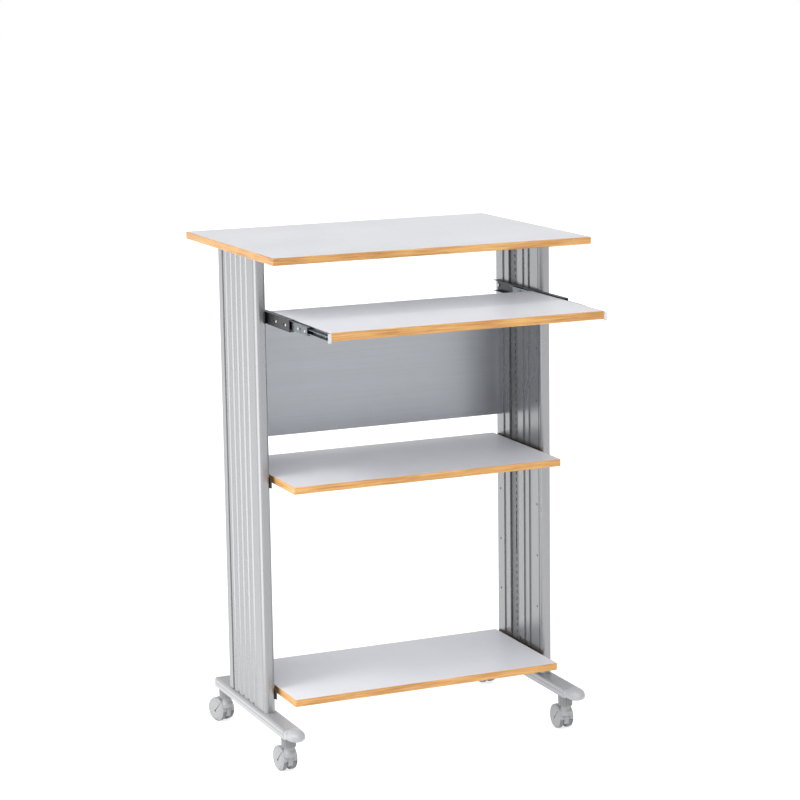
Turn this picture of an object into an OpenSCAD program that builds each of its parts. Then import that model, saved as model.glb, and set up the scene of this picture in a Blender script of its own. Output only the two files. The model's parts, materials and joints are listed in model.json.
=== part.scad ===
// Mobile printer stand: two ribbed columns on castered feet carry a worktop,
// a pull-out keyboard shelf on ball-bearing slides, and two fixed shelves.
// X runs to the right, Y to the rear, Z up; the floor is at Z = 0.

/* [Worktop] */
// Width of the worktop
top_w = 749; // [720:1:780]
// Depth of the worktop
top_d = 559; // [540:1:580]
// Height of the worktop's upper face above the floor
top_z = 1143; // [1120:1:1180]
// Thickness of the worktop and of the fixed shelves
board_t = 16; // [14:0.5:18]
// Thickness of the edge banding
band_t = 1.5; // [1:0.5:3]

/* [Keyboard shelf] */
// Width of the pull-out shelf
tray_w = 630; // [630:1:630]
// Depth of the pull-out shelf
tray_d = 350; // [330:1:360]
// Thickness of the pull-out shelf
tray_t = 18; // [16:0.5:18]
// Height of the pull-out shelf's upper face
tray_z = 1005; // [1000:1:1010]
// Distance of the shelf's front edge ahead of the column centre, as it is drawn
tray_reach = 450; // [440:1:460]
// How far the shelf is drawn out from its closed place
tray_out = 180; // [170:1:190]

/* [Fixed shelves] */
// Width of both fixed shelves
shelf_w = 642; // [636:1:646]
// Depth of the middle shelf
middle_d = 350; // [340:1:360]
// Height of the middle shelf's upper face
middle_z = 640; // [634:1:646]
// Distance of the middle shelf's front edge ahead of the column centre
middle_reach = 234; // [228:1:240]
// Depth of the printer shelf
printer_d = 323; // [316:1:330]
// Height of the printer shelf's upper face
printer_z = 160; // [156:1:162]
// Distance of the printer shelf's front edge ahead of the column centre
printer_reach = 213; // [208:1:218]

/* [Columns and feet] */
// Distance from the middle of the stand to a column's inner face
column_x = 331; // [331:1:331]
// Thickness of a column
column_t = 25; // [25:1:25]
// Front edge of a column, ahead of its centre
column_front = 117; // [116:1:120]
// Rear edge of a column, behind its centre
column_rear = 114; // [112:1:116]
// Width of a foot rail
foot_w = 40; // [40:1:42]
// Height of a foot rail
foot_h = 23; // [22:1:24]
// Height of a foot rail's upper face
foot_z = 106; // [106:1:106]
// Distance from the middle of the stand to a foot rail's centre line
foot_x = 342; // [341:1:345]

/* [Casters] */
// Wheel diameter
wheel_d = 50; // [50:1:50]
// Width of one wheel
wheel_w = 9.5; // [9:0.5:9.5]
// Distance from the swivel axis back to the axle
trail = 20; // [19:0.5:20]
// Swivel angles at rest: front left, front right, rear left, rear right
caster_turn = [5, -2, 18, 4]; // [-180:1:180]

/* [Hidden] */
$fn = 48;
eps = 0.01;
corner_r = 3;           // plan radius of a banded board's corners
// Moves the column centre so that the whole stand's box is centred on the origin
frame_shift = (tray_reach - top_d / 2) / 2;

SIDES = ["left", "right"];
CORNERS = ["front_left", "front_right", "rear_left", "rear_right"];
LEVELS = ["middle", "printer"];

oak = "#dfa566";
laminate = "#d8dae2";
silver = "#c2c4c9";
light_plastic = "#c6c8cc";
black_steel = "#2a2c2f";
zinc = "#98a1a8";

// Column profile, with t running from the inner face (0) to the outer face
skin = 2.5;             // depth of the grooves below the raised bands
wall = 2;               // wall of the hollow extrusion
rib_pitch = 32.2;       // spacing of the round ribs on the outer face
rib_rear = 79;          // place of the rearmost rib
rib_r = 20;             // radius of a rib's crest
column_bottom = foot_z;
plate_t = 3;            // top plate on a column
column_top = top_z - board_t - plate_t;
port_y = [-58.5, 49.5]; // screw ports that run the column's whole length
port_r = 3.4;
port_wall_r = 6;
nose_r = 9;             // rounding of the column's front edges
// Raised flat bands on the inner face, and their places from front to rear
inner_bands = [[-102, -65], [-52, -36], [-24, -6], [48, 68], [80, column_rear]];
// Raised flat bands on the outer face
outer_bands = [[-104, -70], [92, column_rear]];
rib_count = 5;

// Holes in the column's inner face, which the brackets and slides use
hole_z0 = 142.2;
hole_pitch = 121.6;
hole_count = 9;
hole_y = [-93, 98];
hole_r = 2.5;
hole_depth = 7;

// Slotted strip in the channel
channel = [8, 48];
channel_t = 6;
hook_w = 12;            // width of the deeper groove behind the slots
hook_t = 13;            // depth of that groove
// Hollow chambers: front, rear and depth of the inner wall
chambers = [[6 - column_front, -62, skin + wall], [-55, 5, skin + wall],
            [channel[0] + 3, channel[1] - 2, 15], [53, column_rear - 3, skin + wall]];
strip_t = 1.5;
strip_gap = 2;          // gap between the strip's edges and the channel
first_slot = 20;        // distance of the end slots from the column's ends
slot_y = 23;
slot_pitch = 16;
slot_h = 8;
slot_w = 4;

// Ball-bearing slides, heights measured from the slide's centre line
slide_z = hole_z0 + 7 * hole_pitch;
slide_l = 356;
slide_front = -252;
inner_l = 350;
sheet = 1.4;
outer_h = 26;
outer_t = 11.4;
middle_h = 18;
middle_t = 8;
middle_in = 5;          // how far inside the outer rail's back the middle rail lies
inner_h = 10;
inner_t = 8.5;
ball_r = 0.95;
middle_travel = tray_out / 2;

foot_front = 240;       // end of the rail ahead of the column centre
foot_rear = 200;        // end of the rail behind the column centre
foot_wall = 2.5;
cap_front = 48;         // how far a front cap stands out of the rail
cap_rear = 5;
cap_plug = 2.5;         // how far a cap's plug reaches into the rail
cap_chamfer = 2.5;      // chamfer round the face of a rear cap
dome_half_h = 15.5;     // half the height of a cap's dome, were it whole
dome_rise = 2;          // how far its middle lies above the rail's
dome_share = 0.42;      // where along the cap its middle lies

// Casters
stem_x = 340;
stem_front = -215;
stem_rear = 188;
stem_r = 4;
stem_bottom = 35;
stem_top = 99;
wheel_r = wheel_d / 2;
hood_r = 28;            // outer radius of the hood
hood_z = 28.5;          // height of the hood's centre
hood_wall = 2;
hood_edge_z = 26;       // the hood's shell ends at this height
web_half = 5.5;         // half the width of the web between the wheels
cheek_x = 16;           // inner face of a cheek
cheek_t = 2.5;
cheek_rim_t = 1;        // thickness of a cheek at its rim
cheek_bottom = 5;
axle_r = 3;
wheel_gap = 0.4;        // gap between a wheel and the web
rim = 4;                // thickness of a wheel's rim
hub_r = 8;
dish = 1.5;             // depth of the dished face between rim and hub
boss_r = 11;
boss_bottom = 50;
boss_top = 58;
web_bottom = 14;
big = 60;               // larger than any size of the hood
collar_z = 58.5;        // underside of the collar below the foot rail
collar_r = 16;
running = 0.05;         // radial clearance of a shaft that turns
press = 0.02;           // and of one that is pressed in
socket_r = 9;
socket_h = 17;

function index_of(name, names) = search([name], names)[0];
function level_z(l) = l == "middle" ? middle_z : printer_z;
function level_reach(l) = l == "middle" ? middle_reach : printer_reach;
function level_depth(l) = l == "middle" ? middle_d : printer_d;
function corner_x(c) = (c == "front_left" || c == "rear_left") ? -1 : 1;
function is_front(c) = c == "front_left" || c == "front_right";

// Puts a piece drawn about the column centre into the stand's frame
module place() translate([0, frame_shift, 0]) children();

// Draws a piece of the right-hand side on the side that is asked for
module on_side(side) mirror([side == "left" ? 1 : 0, 0, 0]) children();

// A box from its lowest corner to its highest
module box(low, high) translate(low) cube(high - low);

// A flat rectangle with round corners, centred on x
module round_rect(w, y0, y1, r) {
    translate([-w / 2 + r, y0]) square([w - 2 * r, y1 - y0]);
    translate([-w / 2, y0 + r]) square([w, y1 - y0 - 2 * r]);
    for (x = [-w / 2 + r, w / 2 - r], y = [y0 + r, y1 - r]) translate([x, y]) circle(r);
}

// Outline of the board inside its banding
module board_outline(w, y0, y1)
    round_rect(w - 2 * band_t, y0 + band_t, y1 - band_t, corner_r - band_t);

// Board inside its banding
module board(w, y0, y1, z1, t) color(laminate)
    translate([0, 0, z1 - t]) linear_extrude(t) board_outline(w, y0, y1);

// Banding that runs all round a board
module band(w, y0, y1, z1, t) color(oak)
    translate([0, 0, z1 - t]) linear_extrude(t) difference() {
        round_rect(w, y0, y1, corner_r);
        board_outline(w, y0, y1);
    }

module worktop() place() board(top_w, -top_d / 2, top_d / 2, top_z, board_t);
module worktop_edge_band() place() band(top_w, -top_d / 2, top_d / 2, top_z, board_t);

module fixed_shelf(l) place()
    board(shelf_w, -level_reach(l), level_depth(l) - level_reach(l), level_z(l), board_t);
module fixed_shelf_band(l) place()
    band(shelf_w, -level_reach(l), level_depth(l) - level_reach(l), level_z(l), board_t);

module keyboard_shelf() place() color(laminate)
    box([-tray_w / 2, -tray_reach + band_t, tray_z - tray_t], [tray_w / 2, tray_d - tray_reach, tray_z]);
module keyboard_shelf_edge_band() place() color(oak)
    box([-tray_w / 2, -tray_reach, tray_z - tray_t], [tray_w / 2, -tray_reach + band_t, tray_z]);

// Solid outline of the column, x = t
module column_outline() {
    depth = column_front + column_rear;
    translate([skin, nose_r - column_front]) square([column_t - 2 * skin, depth - nose_r]);
    translate([0, nose_r - column_front]) square([column_t, 3]);
    for (t = [nose_r, column_t - nose_r]) translate([t, nose_r - column_front]) circle(nose_r);
    translate([nose_r, -column_front]) square([column_t - 2 * nose_r, nose_r]);
    for (b = inner_bands) translate([0, b[0]]) square([skin + eps, b[1] - b[0]]);
    for (b = outer_bands) translate([column_t - skin - eps, b[0]]) square([skin + eps, b[1] - b[0]]);
    for (i = [0:rib_count - 1]) intersection() {
        translate([column_t - rib_r, rib_rear - i * rib_pitch]) circle(rib_r);
        translate([skin, -column_front]) square([column_t, depth]);
    }
}

module column_profile() {
    difference() {
        column_outline();
        translate([-eps, channel[0]]) square([channel_t + eps, channel[1] - channel[0]]);
        translate([channel_t - eps, slot_y - hook_w / 2]) square([hook_t - channel_t, hook_w]);
        for (c = chambers) translate([c[2], c[0]]) square([column_t - skin - wall - c[2], c[1] - c[0]]);
    }
    for (y = port_y) translate([column_t / 2, y]) circle(port_wall_r);
}

module column(side) place() on_side(side) color(silver) difference() {
    translate([column_x, 0, column_bottom]) linear_extrude(column_top - column_bottom) difference() {
        column_profile();
        for (y = port_y) translate([column_t / 2, y]) circle(port_r);
    }
    for (i = [0:hole_count - 1], y = hole_y) translate([column_x - 1, y, hole_z0 + i * hole_pitch])
        rotate([0, 90, 0]) cylinder(r = hole_r, h = hole_depth + 1);
}

// Steel strip with a row of slots, pressed into the channel
module slot_strip(side) place() on_side(side) color(zinc)
    translate([column_x + channel_t - strip_t, 0, 0]) difference() {
        box([0, channel[0] + strip_gap, column_bottom + 4],
            [strip_t, channel[1] - strip_gap, column_top - 4]);
        for (z = [column_bottom + first_slot:slot_pitch:column_top - first_slot])
            translate([0, slot_y, z]) cube([2 * strip_t + 1, slot_w, slot_h], center = true);
    }

// Plate that joins a column to the worktop
plate_half = 96;        // half the plate's length
plate_in = 31;          // how far it reaches past the column's inner face
plate_out = 21;         // and over the column's top
clearance_r = 2.3;      // hole that a screw passes through
worktop_screw_x = column_x - 15;
worktop_screw_y = [-84, -28, 28, 84];
top_screw_r = 3;        // screws into the column's ports
module top_bracket(side) place() on_side(side) color(black_steel) difference() {
    box([column_x - plate_in, -plate_half, column_top],
        [column_x + plate_out, plate_half, column_top + plate_t]);
    for (y = worktop_screw_y) translate([worktop_screw_x, y, column_top - 1])
        cylinder(r = clearance_r, h = plate_t + 2);
    for (y = port_y) translate([column_x + column_t / 2, y, column_top]) {
        translate([0, 0, -1]) cylinder(r = top_screw_r + 0.3, h = plate_t + 2);
        cylinder(r1 = top_screw_r + 0.3, r2 = 6.3, h = plate_t + eps);
    }
}

// Sheet panel between the columns, with flanges back along them
panel_y = 84;
panel_t = 1.5;
panel_z = [690, 950];
flange = 24;            // depth of the side flanges
hem = 12;               // depth of the upper and lower flanges
panel_rows = [5, 6];    // rows of column holes that the panel is screwed to
module back_panel() place() color("#9ea6b0") difference() {
    box([-column_x, panel_y, panel_z[0]], [column_x, panel_y + flange, panel_z[1]]);
    box([-column_x + panel_t, panel_y + panel_t, panel_z[0] + panel_t],
        [column_x - panel_t, panel_y + flange + 1, panel_z[1] - panel_t]);
    box([-column_x + panel_t, panel_y + hem, panel_z[0] - 1],
        [column_x - panel_t, panel_y + flange + 1, panel_z[1] + 1]);
    for (s = [-1, 1], i = panel_rows) translate([s * column_x, hole_y[1], hole_z0 + i * hole_pitch])
        rotate([0, 90, 0]) cylinder(r = clearance_r, h = 3 * panel_t, center = true);
}

// Pan-head screw: the head's seat is at z = 0 and the shank runs down
cross_w = 0.8;          // width and depth of the cross recess
cross_depth = 0.7;
module screw(head_r, head_h, shank_r, shank_l) {
    difference() {
        cylinder(r = head_r, h = head_h);
        for (a = [0, 90]) rotate(a) translate([-head_r * 0.6, -cross_w / 2, head_h - cross_depth])
            cube([head_r * 1.2, cross_w, 1]);
    }
    translate([0, 0, -shank_l]) cylinder(r = shank_r, h = shank_l + eps);
}
// Screw into a column's inner face, seated on a sheet of thickness t
module side_screw(t, y, z, head_h = 2.2)
    translate([column_x - t, y, z]) rotate([0, -90, 0]) screw(4, head_h, 2, hole_depth + 2);
// Screw driven up into a board from the given seat
module up_screw(x, y, z) translate([x, y, z]) mirror([0, 0, 1]) screw(4, 2.2, 2, 14);

// Pressed-steel bracket that fills the gap between a shelf and a column
leg_t = 3;
leg_rear = 108;         // rear end of the bracket's leg
leg_drop = 8;           // how far the leg reaches below the shelf
ledge = [-84, 88];      // front and rear ends of the ledge under the shelf
ledge_in = 33;          // reach of the ledge from the column's face
shelf_screw_x = column_x - 22;
shelf_screw_y = [-60, 60];
function bracket_hole_z(l) = l == "middle" ? hole_z0 + 4 * hole_pitch : hole_z0;
module shelf_bracket(l, side) place() on_side(side) color(black_steel) {
    low = level_z(l) - board_t;
    difference() {
        union() {
            box([column_x - leg_t, -column_front, low - leg_drop], [column_x, leg_rear, level_z(l) - 1]);
            box([column_x - ledge_in, ledge[0], low - leg_t], [column_x - leg_t + eps, ledge[1], low]);
        }
        for (y = hole_y) translate([column_x - 5, y, bracket_hole_z(l)])
            rotate([0, 90, 0]) cylinder(r = clearance_r, h = 8);
        for (y = shelf_screw_y) translate([shelf_screw_x, y, low - 5]) cylinder(r = clearance_r, h = 8);
    }
}

// Screws that hold the shelf brackets and the back panel to the columns
module column_screws() place() color(zinc) for (s = SIDES) on_side(s) {
    for (l = LEVELS, y = hole_y) side_screw(leg_t, y, bracket_hole_z(l));
    for (i = panel_rows) side_screw(panel_t, hole_y[1], hole_z0 + i * hole_pitch);
}
// Screws driven up into the fixed shelves and the worktop
module board_screws() place() color(zinc) for (s = SIDES) on_side(s) {
    for (l = LEVELS, y = shelf_screw_y) up_screw(shelf_screw_x, y, level_z(l) - board_t - leg_t);
    for (y = worktop_screw_y) up_screw(worktop_screw_x, y, column_top);
}

// Countersunk screws down through the top plates into the columns' ports
module column_top_screws() place() color(zinc) for (s = SIDES, y = port_y) on_side(s)
    translate([column_x + column_t / 2, y, column_top]) {
        translate([0, 0, 0.3]) cylinder(r1 = top_screw_r, r2 = 5.5, h = plate_t - 0.5);
        translate([0, 0, -22]) cylinder(r = top_screw_r, h = 22.5);
    }

// Hexagon bolts up through the feet into the same ports
bolt_r = 3.2;
bolt_head_h = 5;
bolt_l = 30;
module foot_bolts() place() color(zinc) for (s = SIDES, y = port_y) on_side(s)
    translate([column_x + column_t / 2, y, foot_z - foot_wall]) mirror([0, 0, 1]) {
        cylinder(r = 7.5, h = bolt_head_h, $fn = 6);
        translate([0, 0, -bolt_l]) cylinder(r = bolt_r, h = bolt_l + 0.5);
    }

// C-shaped rail: web at its far side, flanges towards the middle of the stand
module c_rail(x_web, x_open, y0, y1, h) difference() {
    z0 = slide_z - h / 2 + sheet;
    z1 = slide_z + h / 2 - sheet;
    box([min(x_web, x_open), y0, slide_z - h / 2], [max(x_web, x_open), y1, slide_z + h / 2]);
    if (x_web > x_open)
        box([x_open - 1, y0 - 1, z0], [x_web - sheet, y1 + 1, z1]);
    else
        box([x_web + sheet, y0 - 1, z0], [x_open + 1, y1 + 1, z1]);
}
slide_hole_y = [-220, -160, -93, -20, 98];
module slide_outer(side) place() on_side(side) color(black_steel) difference() {
    c_rail(column_x, column_x - outer_t, slide_front, slide_front + slide_l, outer_h);
    for (y = slide_hole_y) translate([column_x - 3, y, slide_z])
        rotate([0, 90, 0]) cylinder(r = clearance_r, h = 5);
}
module slide_middle(side) place() on_side(side) color(zinc) difference() {
    y0 = slide_front - middle_travel;
    c_rail(column_x - middle_in, column_x - middle_in - middle_t, y0, y0 + slide_l, middle_h);
    for (i = [0:4]) translate([column_x - 8, y0 + 40 + i * 69, slide_z])
        rotate([0, 90, 0]) cylinder(r = 3, h = 5);
}
// The inner rail ends in a lip that is bent out beside the shelf's front edge
tray_screw_y = [-425, -300, -140];
lip_y = 0.5 - tray_reach;
lip_half_h = 10;
lip_w = 7;
ledge_top = 1003.5;     // upper edge of the upright flange beside the shelf
module slide_inner(side) place() on_side(side) color(zinc) difference() {
    union() {
        c_rail(tray_w / 2, tray_w / 2 + inner_t, lip_y + 1.5, inner_l - tray_reach, inner_h);
        box([tray_w / 2, lip_y, slide_z - lip_half_h],
            [tray_w / 2 + lip_w, lip_y + 1.5, slide_z + lip_half_h]);
        box([tray_w / 2, lip_y + 1, slide_z], [tray_w / 2 + sheet, inner_l - tray_reach, ledge_top]);
    }
    for (y = tray_screw_y) translate([tray_w / 2 - 1, y, slide_z])
        rotate([0, 90, 0]) cylinder(r = 2.1, h = 4);
}

// Ball cages: strips of balls above and below a rail, inside the next larger rail
ball_pitch = 12;
ball_count = 14;
cage_w = 3.2;
cage_t = 0.6;
cage_outer_y = -216;    // front end of the cages between outer and middle rails
cage_inner_y = -306;    // and of those between middle and inner rails
module ball_strip(x, z, y0) translate([x, y0, z]) {
    translate([-cage_w / 2, 0, -cage_t / 2]) cube([cage_w, ball_pitch * ball_count, cage_t]);
    for (i = [0:ball_count - 1]) translate([0, (i + 0.5) * ball_pitch, 0]) sphere(r = ball_r, $fn = 24);
}
// Height of a cage's middle, halfway between two nested rails
function cage_z(large, small) = (large + small) / 4 - sheet / 2;
module ball_cages(x, z, y0) place() color("#777f86")
    for (s = SIDES, m = [-1, 1]) on_side(s) ball_strip(column_x - x, slide_z + m * z, y0);
module ball_cages_outer() ball_cages(8, cage_z(outer_h, middle_h), cage_outer_y);
module ball_cages_inner() ball_cages(10.5, cage_z(middle_h, inner_h), cage_inner_y);

module slide_screws() place() color("#1d1f21") for (s = SIDES, y = hole_y) on_side(s)
    side_screw(sheet, y, slide_z, 1.6);
module tray_screws() place() color(zinc) for (s = SIDES, y = tray_screw_y) on_side(s)
    translate([tray_w / 2 + sheet, y, slide_z]) rotate([0, 90, 0]) screw(3, 1.4, 1.8, 15);

// Foot rail: hollow profile, crowned at its upper edges, with a groove along each side
crown_r = 6;
module foot_profile() {
    translate([crown_r - foot_w / 2, foot_h - crown_r]) circle(crown_r);
    translate([foot_w / 2 - crown_r, foot_h - crown_r]) circle(crown_r);
    translate([crown_r - foot_w / 2, 0]) square([foot_w - 2 * crown_r, foot_h]);
    translate([-foot_w / 2, 2]) square([foot_w, foot_h - crown_r - 2]);
    translate([2 - foot_w / 2, 0]) square([foot_w - 4, 4]);
}
// Hollow of the rail, lower beside its crowned edges
low_h = foot_h - 2 * foot_wall - 3;
module foot_hollow() {
    translate([foot_wall - foot_w / 2, foot_wall]) square([foot_w - 2 * foot_wall, low_h]);
    translate([crown_r - foot_w / 2, foot_wall]) square([foot_w - 2 * crown_r, foot_h - 2 * foot_wall]);
}
bolt_access_r = 9;      // hole below a bolt, for the spanner
groove = [1.6, 1.2];    // twice the depth, and the height, of the groove along each side
groove_h = 12;
module foot(side) place() on_side(side) color(silver) difference() {
    translate([foot_x, foot_rear, foot_z - foot_h])
        rotate([90, 0, 0]) linear_extrude(foot_rear + foot_front) difference() {
            foot_profile();
            foot_hollow();
            for (s = [-1, 1]) translate([s * foot_w / 2, groove_h]) square(groove, center = true);
        }
    for (y = port_y) translate([column_x + column_t / 2, y, 0]) {
        translate([0, 0, foot_z - foot_wall - 1]) cylinder(r = bolt_r + 0.2, h = 5);
        translate([0, 0, foot_z - foot_h - 1]) cylinder(r = bolt_access_r, h = 5);
    }
    for (y = [stem_front, stem_rear]) translate([stem_x, y, foot_z - foot_h - 1])
        cylinder(r = stem_r + 0.2, h = 5);
}

// Cap that closes a rail's end: a ball-like dome with a flat base in front, a chamfered plate behind
module domed_cap() intersection() {
    hull() {
        rotate([90, 0, 0]) linear_extrude(4) foot_profile($fn = 24);
        translate([0, -cap_front * dome_share, foot_h / 2 + dome_rise])
            scale([foot_w / 2 + 1.5, cap_front * (1 - dome_share), dome_half_h]) sphere(r = 1, $fn = 28);
    }
    translate([-big, -2 * big, 0]) cube(2 * big);
}
module plate_cap() hull() {
    rotate([90, 0, 0]) linear_extrude(cap_rear - cap_chamfer) foot_profile($fn = 24);
    face_w = foot_w - 2 * cap_chamfer;
    translate([-face_w / 2, -cap_rear, cap_chamfer]) cube([face_w, cap_rear, foot_h - 2 * cap_chamfer]);
}
module foot_cap(c) place() translate([corner_x(c) * foot_x, 0, foot_z - foot_h]) color(light_plastic)
    translate([0, is_front(c) ? -foot_front : foot_rear, 0]) mirror([0, is_front(c) ? 0 : 1, 0]) {
        if (is_front(c)) domed_cap();
        else plate_cap();
        translate([press + foot_wall - foot_w / 2, -0.5, press + foot_wall])
            cube([foot_w - 2 * (foot_wall + press), cap_plug + 0.5, low_h - 2 * press]);
    }

// Everything of one caster stands at its swivel axis
module at_caster(c) place() translate([corner_x(c) * stem_x, is_front(c) ? stem_front : stem_rear, 0])
    rotate(caster_turn[index_of(c, CORNERS)]) children();
// Draws along the axle, with z as the axle's direction
module along_axle(z) translate([0, trail, z]) rotate([0, 90, 0]) children();

module caster_stem(c) at_caster(c) color("#7f8285") {
    translate([0, 0, stem_bottom]) cylinder(r = stem_r, h = stem_top - stem_bottom);
    translate([0, 0, collar_z]) cylinder(r1 = collar_r, r2 = collar_r + 1, h = foot_z - foot_h - collar_z);
}

// Sockets inside the foot rails, which the stems push into
module caster_sockets() place() color(black_steel) for (s = SIDES, y = [stem_front, stem_rear]) on_side(s)
    translate([stem_x, y, foot_z - foot_h + foot_wall]) difference() {
        cylinder(r = socket_r, h = socket_h);
        translate([0, 0, -1]) cylinder(r = stem_r + press, h = socket_h - 2);
    }

// Side wall of a hood, thicker towards its middle
module cheek() {
    cylinder(r = hood_r, h = cheek_rim_t);
    translate([0, 0, cheek_rim_t]) cylinder(r1 = hood_r, r2 = hood_r / 2, h = cheek_t - cheek_rim_t);
}
module hood_shell() difference() {
    along_axle(hood_z) cylinder(r = hood_r, h = 2 * cheek_x + 1, center = true);
    along_axle(hood_z) cylinder(r = hood_r - hood_wall, h = 2 * cheek_x + 2, center = true);
    translate([-big, -big, hood_edge_z - big]) cube([2 * big, 2 * big, big]);
}
module hood_web() intersection() {
    along_axle(hood_z) cylinder(r = hood_r - 1, h = 2 * web_half, center = true);
    translate([-web_half, -big, web_bottom]) cube([2 * web_half, 2 * big, big]);
}
// Seam that runs from the axle's hole up each cheek
seam_angle = 40;
seam_w = 1.2;
module cheek_seam() translate([cheek_x + cheek_t - 1, trail, wheel_r])
    rotate([seam_angle, 0, 0]) translate([0, -seam_w / 2, axle_r + 1]) cube([3, seam_w, 40]);

module caster_hood(c) at_caster(c) color(light_plastic) difference() {
    union() {
        hood_shell();
        hood_web();
        for (m = [0, 1]) mirror([m, 0, 0]) translate([cheek_x, 0, 0]) along_axle(hood_z) cheek();
        translate([0, 0, boss_bottom]) cylinder(r = boss_r, h = boss_top - boss_bottom);
    }
    translate([-big, -big, cheek_bottom - big]) cube([2 * big, 2 * big, big]);
    along_axle(wheel_r) cylinder(r = axle_r + press, h = big, center = true);
    translate([0, 0, stem_bottom - 1]) cylinder(r = stem_r + running, h = 30);
    for (m = [0, 1]) mirror([m, 0, 0]) cheek_seam();
}
module caster_axle(c) at_caster(c) color(zinc)
    along_axle(wheel_r) cylinder(r = axle_r, h = 2 * cheek_x + 1, center = true);
module wheel(c, w) at_caster(c) color("#a9abae") along_axle(wheel_r)
    translate([0, 0, (w == "left" ? -1 : 1) * (web_half + wheel_gap + wheel_w / 2)]) difference() {
        cylinder(r = wheel_r, h = wheel_w, center = true, $fn = 72);
        cylinder(r = axle_r + running, h = wheel_w + 1, center = true);
        for (m = [0, 1]) mirror([0, 0, m]) translate([0, 0, wheel_w / 2 - dish]) difference() {
            cylinder(r = wheel_r - rim, h = dish + 1);
            translate([0, 0, -1]) cylinder(r = hub_r, h = dish + 3);
        }
    }

worktop();
worktop_edge_band();
keyboard_shelf();
keyboard_shelf_edge_band();
back_panel();
column_screws();
slide_screws();
board_screws();
tray_screws();
column_top_screws();
foot_bolts();
caster_sockets();
ball_cages_outer();
ball_cages_inner();
for (l = LEVELS) {
    fixed_shelf(l);
    fixed_shelf_band(l);
    for (s = SIDES) shelf_bracket(l, s);
}
for (s = SIDES) {
    column(s);
    slot_strip(s);
    foot(s);
    top_bracket(s);
    slide_outer(s);
    slide_middle(s);
    slide_inner(s);
}
for (c = CORNERS) {
    foot_cap(c);
    caster_stem(c);
    caster_hood(c);
    caster_axle(c);
    for (w = SIDES) wheel(c, w);
}
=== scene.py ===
"""Mobile printer stand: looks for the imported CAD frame, its camera, lights and floor.

Everything is in metres in the frame's own axes: X to the right, Y to the rear, Z up.
"""

import json
import math

import bmesh
import bpy
from mathutils import Matrix, Vector


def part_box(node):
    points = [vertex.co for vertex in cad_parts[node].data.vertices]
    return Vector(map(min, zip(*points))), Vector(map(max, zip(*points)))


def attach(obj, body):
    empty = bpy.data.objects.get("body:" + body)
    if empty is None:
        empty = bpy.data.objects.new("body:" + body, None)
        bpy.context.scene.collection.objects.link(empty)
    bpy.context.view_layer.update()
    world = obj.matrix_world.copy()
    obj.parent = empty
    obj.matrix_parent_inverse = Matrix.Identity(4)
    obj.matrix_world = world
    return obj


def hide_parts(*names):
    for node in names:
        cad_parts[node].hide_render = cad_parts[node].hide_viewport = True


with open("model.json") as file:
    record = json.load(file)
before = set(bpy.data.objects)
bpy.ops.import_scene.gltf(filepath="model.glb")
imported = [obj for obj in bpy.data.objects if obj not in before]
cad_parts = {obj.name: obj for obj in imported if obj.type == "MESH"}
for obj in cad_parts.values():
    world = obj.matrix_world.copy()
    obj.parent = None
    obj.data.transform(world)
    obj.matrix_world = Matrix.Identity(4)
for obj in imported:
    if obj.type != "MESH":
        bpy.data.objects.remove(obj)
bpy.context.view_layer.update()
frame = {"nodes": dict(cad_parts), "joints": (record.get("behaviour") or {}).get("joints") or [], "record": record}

MM = 0.001
SIDES = ("left", "right")
CORNERS = ("front_left", "front_right", "rear_left", "rear_right")
JOINTS = {joint["name"]: joint for joint in frame["joints"]}

# ---------------------------------------------------------------- camera

CAMERA_PLACE = (-2.217, -5.085, 1.807)
CAMERA_TURN = math.radians(-23.5)
CAMERA_TILT = math.radians(10.5)
CAMERA_ROLL = math.radians(-0.85)
CAMERA_LENS = 113.5


def make_camera():
    data = bpy.data.cameras.new("camera")
    data.lens = CAMERA_LENS
    data.sensor_width = 36
    data.clip_end = 50
    camera = bpy.data.objects.new("camera", data)
    bpy.context.scene.collection.objects.link(camera)
    turn = Matrix.Rotation(CAMERA_TURN, 4, "Z")
    tilt = Matrix.Rotation(math.pi / 2 - CAMERA_TILT, 4, "X")
    roll = Matrix.Rotation(CAMERA_ROLL, 4, "Z")
    camera.matrix_world = Matrix.Translation(CAMERA_PLACE) @ turn @ tilt @ roll
    bpy.context.scene.camera = camera


# ---------------------------------------------------------------- materials

# Radius of the edge mask that places the painted highlight on the oak banding's arrises.
HIGHLIGHT_EDGE_RADIUS = 1.2 * MM
LIP_TONE = (0.66, 0.67, 0.69)
LIP_DEPTH = 2.5 * MM
COLUMN_TONE = (0.33, 0.332, 0.342)
FOOT_TONE = (0.43, 0.432, 0.442)


def toned(tone, factor):
    """A colour made lighter or darker."""
    return tuple(min(1.0, factor * c) for c in tone)


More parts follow.
